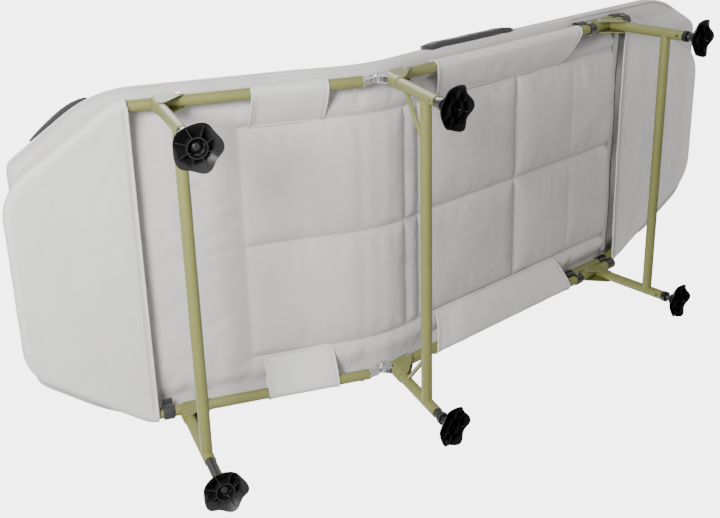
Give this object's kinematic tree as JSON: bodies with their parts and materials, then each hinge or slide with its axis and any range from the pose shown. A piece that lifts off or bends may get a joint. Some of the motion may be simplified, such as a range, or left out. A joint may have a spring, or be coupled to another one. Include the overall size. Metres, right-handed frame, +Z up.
{
  "type": "folding cot",
  "caption": "Folding cot with two hinged tube sections, three folding leg pairs on swivelling cup feet and a quilted grey mattress.",
  "frame": {"origin": "on the ground under the middle of the cot's overall box, head section raised", "axes": "+Z up, head end toward -X, foot end toward +X, sleeper's left toward +Y"},
  "size_m": [2.0954, 0.7922, 0.7404],
  "materials": {
    "sage_paint": "satin powder coat",
    "zinc": "bright zinc plate",
    "rivet_steel": "plated rivets",
    "black_plastic": "glossy black moulding",
    "webbing": "woven black webbing",
    "mattress_fabric": "brushed light grey polyester",
    "cover_fabric": "light grey coated polyester"
  },
  "bodies": {
    "seat_frame": {"seat_rail_left": "sage_paint", "seat_rail_right": "sage_paint", "foot_loop": "sage_paint", "clip_inner_left": "black_plastic", "clip_inner_right": "black_plastic", "clip_outer_left": "black_plastic", "clip_outer_right": "black_plastic", "hinge_body_left": "zinc", "hinge_body_right": "zinc", "hinge_pins": "rivet_steel", "ratchet_pawls": "zinc", "frame_rivets": "rivet_steel", "rail_sleeve_left": "cover_fabric", "rail_sleeve_right": "cover_fabric", "mattress_seat": "mattress_fabric", "mattress_bend": "mattress_fabric", "foot_pocket": "cover_fabric", "carry_handle": "webbing"},
    "head_frame": {"head_rail_left": "sage_paint", "head_rail_right": "sage_paint", "head_loop": "sage_paint", "hinge_tongue_left": "zinc", "hinge_tongue_right": "zinc", "tongue_rivets": "rivet_steel", "side_tab_left": "cover_fabric", "side_tab_right": "cover_fabric", "mattress_head": "mattress_fabric", "head_pocket": "cover_fabric", "pillow": "mattress_fabric", "pillow_band": "webbing", "storage_strap": "webbing"},
    "head_legs": {"head_leg_left": "sage_paint", "head_leg_right": "sage_paint", "head_leg_cross": "sage_paint", "head_leg_brackets": "sage_paint", "head_leg_rivets": "rivet_steel"},
    "mid_legs": {"mid_leg_left": "sage_paint", "mid_leg_right": "sage_paint", "mid_leg_cross": "sage_paint", "mid_leg_brackets": "sage_paint", "mid_leg_rivets": "rivet_steel", "mid_leg_braces": "sage_paint"},
    "foot_legs": {"foot_leg_left": "sage_paint", "foot_leg_right": "sage_paint", "foot_leg_cross": "sage_paint", "foot_leg_brackets": "sage_paint", "foot_leg_rivets": "rivet_steel"},
    "stem_head_left_body": {"stem_head_left": "black_plastic"},
    "cup_head_left_body": {"cup_head_left": "black_plastic"},
    "stem_head_right_body": {"stem_head_right": "black_plastic"},
    "cup_head_right_body": {"cup_head_right": "black_plastic"},
    "stem_mid_left_body": {"stem_mid_left": "black_plastic"},
    "cup_mid_left_body": {"cup_mid_left": "black_plastic"},
    "stem_mid_right_body": {"stem_mid_right": "black_plastic"},
    "cup_mid_right_body": {"cup_mid_right": "black_plastic"},
    "stem_foot_left_body": {"stem_foot_left": "black_plastic"},
    "cup_foot_left_body": {"cup_foot_left": "black_plastic"},
    "stem_foot_right_body": {"stem_foot_right": "black_plastic"},
    "cup_foot_right_body": {"cup_foot_right": "black_plastic"}
  },
  "joints": [
    {"name": "recline_hinge", "type": "hinge", "parent": "seat_frame", "child": "head_frame", "pos_m": [-0.29681, 0, 0.3191], "axis": [0, 1, 0], "range_deg": [-24.5, 120], "deforming": ["mattress_bend"]},
    {"name": "head_leg_fold", "type": "hinge", "parent": "head_frame", "child": "head_legs", "pos_m": [-0.70441, 0, 0.47848], "axis": [0, -1, 0], "range_deg": [0, 82.5]},
    {"name": "mid_leg_fold", "type": "hinge", "parent": "seat_frame", "child": "mid_legs", "pos_m": [-0.23081, 0, 0.29509], "axis": [0, -1, 0], "range_deg": [0, 106.3]},
    {"name": "foot_leg_fold", "type": "hinge", "parent": "seat_frame", "child": "foot_legs", "pos_m": [0.50219, 0, 0.29509], "axis": [0, 1, 0], "range_deg": [0, 78.2]},
    {"name": "stem_head_left_slide", "type": "slide", "parent": "head_legs", "child": "stem_head_left_body", "axis": [-0.3955, 0, -0.9184], "range_m": [-0.0695, 0]},
    {"name": "cup_head_left_swivel", "type": "hinge", "parent": "stem_head_left_body", "child": "cup_head_left_body", "pos_m": [-0.88143, 0.35, 0.18119], "axis": [0, 1, 0], "range_deg": [-25, 25]},
    {"name": "stem_head_right_slide", "type": "slide", "parent": "head_legs", "child": "stem_head_right_body", "axis": [-0.3955, 0, -0.9184], "range_m": [-0.0695, 0]},
    {"name": "cup_head_right_swivel", "type": "hinge", "parent": "stem_head_right_body", "child": "cup_head_right_body", "pos_m": [-0.88143, -0.35, 0.18119], "axis": [0, 1, 0], "range_deg": [-25, 25]},
    {"name": "stem_mid_left_slide", "type": "slide", "parent": "mid_legs", "child": "stem_mid_left_body", "axis": [-0.3795, 0, -0.9252], "range_m": [-0.02067, 0.02383]},
    {"name": "cup_mid_left_swivel", "type": "hinge", "parent": "stem_mid_left_body", "child": "cup_mid_left_body", "pos_m": [-0.39181, 0.35, 0.022], "axis": [0, 1, 0], "range_deg": [-2.7, 47.3]},
    {"name": "stem_mid_right_slide", "type": "slide", "parent": "mid_legs", "child": "stem_mid_right_body", "axis": [-0.3795, 0, -0.9252], "range_m": [-0.02067, 0.02383]},
    {"name": "cup_mid_right_swivel", "type": "hinge", "parent": "stem_mid_right_body", "child": "cup_mid_right_body", "pos_m": [-0.39181, -0.35, 0.022], "axis": [0, 1, 0], "range_deg": [-2.7, 47.3]},
    {"name": "stem_foot_left_slide", "type": "slide", "parent": "foot_legs", "child": "stem_foot_left_body", "axis": [-0.1011, 0, -0.9949], "range_m": [0, 0.0445]},
    {"name": "cup_foot_left_swivel", "type": "hinge", "parent": "stem_foot_left_body", "child": "cup_foot_left_body", "pos_m": [0.51445, 0.35, 0.022], "axis": [0, 1, 0], "range_deg": [-19.2, 30.8]},
    {"name": "stem_foot_right_slide", "type": "slide", "parent": "foot_legs", "child": "stem_foot_right_body", "axis": [-0.1011, 0, -0.9949], "range_m": [0, 0.0445]},
    {"name": "cup_foot_right_swivel", "type": "hinge", "parent": "stem_foot_right_body", "child": "cup_foot_right_body", "pos_m": [0.51445, -0.35, 0.022], "axis": [0, 1, 0], "range_deg": [-19.2, 30.8]}
  ]
}
